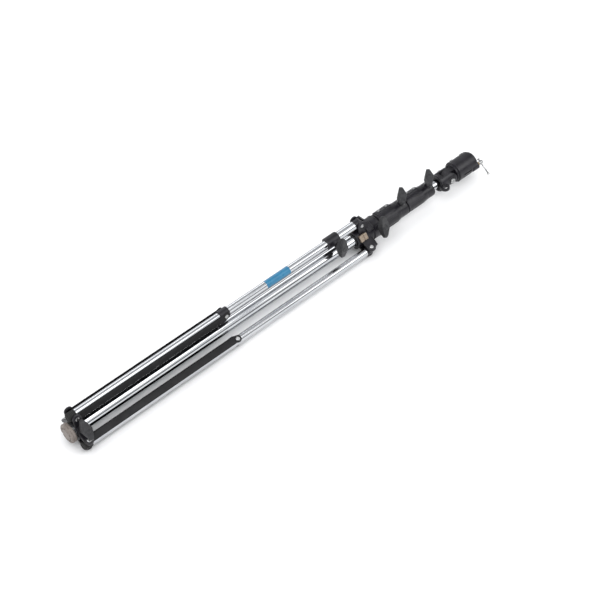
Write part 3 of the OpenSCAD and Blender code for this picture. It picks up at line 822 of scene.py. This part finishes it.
def head_cover():
    """The cover shell, with a lip round each end."""
    parts = [copy_of("head_cover")]
    t0, t1 = span("head_cover")
    r = radius_near("head_cover", t0 + 0.5)
    for t in (t0 + 1.0, t1 - 3.6):
        lip = pipe(r + 0.7, 2.4, t, t + 2.6, at(), 0.6, 96)
        keep = block(-3.0, 80, -80, 80, t - 1, t + 4, at(TEE_ANGLE + 120))
        boolean(lip, keep, "INTERSECT")
        parts.append(lip)
    ob = cast(join(parts), voxel=0.6, rounds=3)
    piece(ob, "head_cover_shell", "head_cover", "black_casting", sharp=60)


def head_fittings():
    """Screws, the tilt bolt and nut, the end stud, the bush and the tee screw of the head."""
    screws = [socket_screw(at(TEE_ANGLE - 150, BARREL_R, 0, t) @ ALONG_X, 2.5, 16, 4.5, 2.4, 2.2)
              for t in (TILT_T + 41, BODY_END - 18)]
    piece(join(screws), "cover_screw_pair", "cover_screws", "bright_steel")
    half = BOLT_HALF
    head = lathe([(0, -half), (5, -half), (5, half), (8, half), (8, half + 2.2), (7.4, half + 3.4),
                  (5.8, half + 4), (3.4, half + 4), (3.0, half + 3.6), (2.9, half + 1.6), (0, half + 1.6)],
                 at(0, 0, 0, TILT_T) @ ALONG_Y, 56,
                 shape=lambda r, z, phi: r * (0.9 / math.cos((phi % (math.pi / 3)) - math.pi / 6))
                 if r < 3 and z > half + 1 else r)
    nut = lathe([(0, -half - 5), (6.2, -half - 5), (7.4, -half - 4.4), (7.6, -half - 1), (7.6, -half),
                 (0, -half)],
                at(0, 0, 0, TILT_T) @ ALONG_Y, 72,
                shape=lambda r, z, phi: r * (0.93 / math.cos((phi % (math.pi / 3)) - math.pi / 6))
                if r > 7.5 else r)
    piece(join([head, nut]), "tilt_bolt_and_nut", "tilt_bolt", "bright_steel")
    stud = [rod(3.7, STUD_T0, BODY_END + 1, at()), thread(4.75, 0.5, 1.5, BODY_END, STUD_T1, at())]
    piece(join(stud), "end_stud_threaded", "end_stud", "bright_steel", sharp=70)
    tee = middle("tee_bush")
    here = LYING @ Matrix.Translation((tee.x, tee.y, 0))
    t0, t1 = span("tee_bush")
    knurl = [(4.08, t0), (6.5, t0), (6.5, t1 - 5.4), (7.0, t1 - 5.1), (7.0, t1 - 0.6), (6.5, t1), (4.5, t1),
             (4.08, t1 - 0.4)]
    piece(lathe(knurl, here, 72, wrap=True,
                shape=lambda r, z, phi: r - (0.16 * (1 + math.cos(36 * phi)) if r > 6.9 else 0)),
          "tee_bush_brass", "tee_bush", "brass_bush", sharp=50)
    s0, s1 = span("tee_screw")
    shank = thread(4, 0.4, 1.25, s0, BODY_END + 8, here)
    cap = rod(5.5, BODY_END + 7, s1, here, 0.8, 48)
    piece(join([shank, cap]), "tee_screw_threaded", "tee_screw", "bright_steel", sharp=60)


def tee_bar():
    """The sliding tee bar, a thin rod with rounded ends."""
    lo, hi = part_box("tee_bar")
    centre = (lo + hi) / 2
    along = Vector(JOINTS["tee_bar_slide"]["axis"]).normalized()
    side = Vector((1, 0, 0))
    m = Matrix((side * MM, along.cross(side) * MM, along * MM)).transposed().to_4x4()
    m.translation = centre
    wide = (hi - lo).x / 2 / MM
    half = bar_length(lo, hi, along) / 2
    profile = [(0, -half), (wide - 1.2, -half), (wide - 0.3, -half + 0.6), (wide, -half + 1.6),
               (wide, -half + 3.6), (wide - 0.8, -half + 4.8), (2, -half + 5.4)]
    piece(lathe(profile + [(r, -z) for r, z in reversed(profile)], m, 40), "tee_bar_rod", "tee_bar",
          "bright_steel", sharp=50)


head_socket()
head_barrel()
head_cover()
head_fittings()
tee_bar()


# ---------- floor, light, camera ----------

def flat(name, colour, rough):
    """A plain stage surface with a faint mottle."""
    return surface(name, tuple(c * 0.99 for c in colour), colour, (rough, rough + 0.05), blotch=1.5,
                   grain=400, relief=0.01, specular=0.2)


def stage_plane(name, centre, facing, width, height, mat, seen=True):
    """A flat stage card. One that isn't seen shows up in reflections only."""
    bm = bmesh.new()
    bmesh.ops.create_grid(bm, x_segments=1, y_segments=1, size=0.5)
    mesh = bpy.data.meshes.new(name)
    bm.to_mesh(mesh)
    bm.free()
    ob = link(name, mesh)
    turn = Vector(facing).to_track_quat("Z", "Y").to_matrix().to_4x4()
    ob.matrix_world = Matrix.Translation(centre) @ turn @ Matrix.Diagonal((width, height, 1, 1))
    mesh.materials.append(mat)
    ob.visible_camera = ob.visible_diffuse = ob.visible_shadow = seen
    return ob


def area_light(name, place, target, size, energy, colour=(1, 1, 1)):
    data = bpy.data.lights.new(name, "AREA")
    data.shape = "RECTANGLE"
    data.size, data.size_y = size
    data.energy = energy
    data.color = colour
    ob = bpy.data.objects.new(name, data)
    bpy.context.scene.collection.objects.link(ob)
    ob.location = place
    ob.rotation_euler = (Vector(target) - Vector(place)).to_track_quat("-Z", "Y").to_euler()
    return ob


def studio():
    """A bright, even floor and sky, with long dark cards that only reflections see."""
    stage_plane("floor", (0, 0, 0), (0, 0, 1), 14, 14, flat("floor_white", (0.90, 0.90, 0.90), 0.6))
    dark = flat("card_dark", (0.02, 0.02, 0.02), 0.8)
    for name, elevation, radius, height in (("card_front", 14, 1.6, 0.34), ("card_high", 96, 1.7, 0.30),
                                            ("card_back", 128, 1.8, 0.16), ("card_far", 158, 1.6, 0.36)):
        a = math.radians(elevation)
        side = (0, -math.cos(a), math.sin(a))
        stage_plane(name, (0.5, radius * side[1], radius * side[2]), (0, -side[1], -side[2]), 4.4, height,
                    dark, seen=False)
    area_light("key", (-0.6, -1.2, 2.4), (0, 0, 0), (3.2, 1.4), 40)
    area_light("fill", (1.8, -1.6, 1.5), (0.2, 0, 0), (1.6, 1.2), 16)
    area_light("rim", (0.2, 2.2, 1.9), (0, 0, 0), (3.4, 0.9), 22)
    world = bpy.data.worlds.new("studio")
    bpy.context.scene.world = world
    world.use_nodes = True
    background = world.node_tree.nodes["Background"]
    background.inputs["Color"].default_value = (0.97, 0.98, 1.0, 1)
    background.inputs["Strength"].default_value = 0.98


def camera():
    """The photograph's view, from the near side and above, rolled a little anticlockwise."""
    azimuth, elevation, roll = 0.6188, 0.76402, -0.14504
    distance, right_shift, up_shift, focal = 3.6467, 0.02487, -0.00592, 84.0
    look = Vector((math.cos(elevation) * math.sin(azimuth), math.cos(elevation) * math.cos(azimuth),
                   -math.sin(elevation)))
    right = look.cross(Vector((0, 0, 1))).normalized()
    up = right.cross(look)
    right, up = (math.cos(roll) * right + math.sin(roll) * up, -math.sin(roll) * right + math.cos(roll) * up)
    data = bpy.data.cameras.new("camera")
    data.sensor_width = 36
    data.lens = focal
    ob = bpy.data.objects.new("camera", data)
    bpy.context.scene.collection.objects.link(ob)
    m = Matrix((right, up, -look)).transposed().to_4x4()
    m.translation = -look * distance + right * right_shift + up * up_shift
    ob.matrix_world = m
    bpy.context.scene.camera = ob
    bpy.context.scene.view_settings.view_transform = "Standard"


studio()
camera()
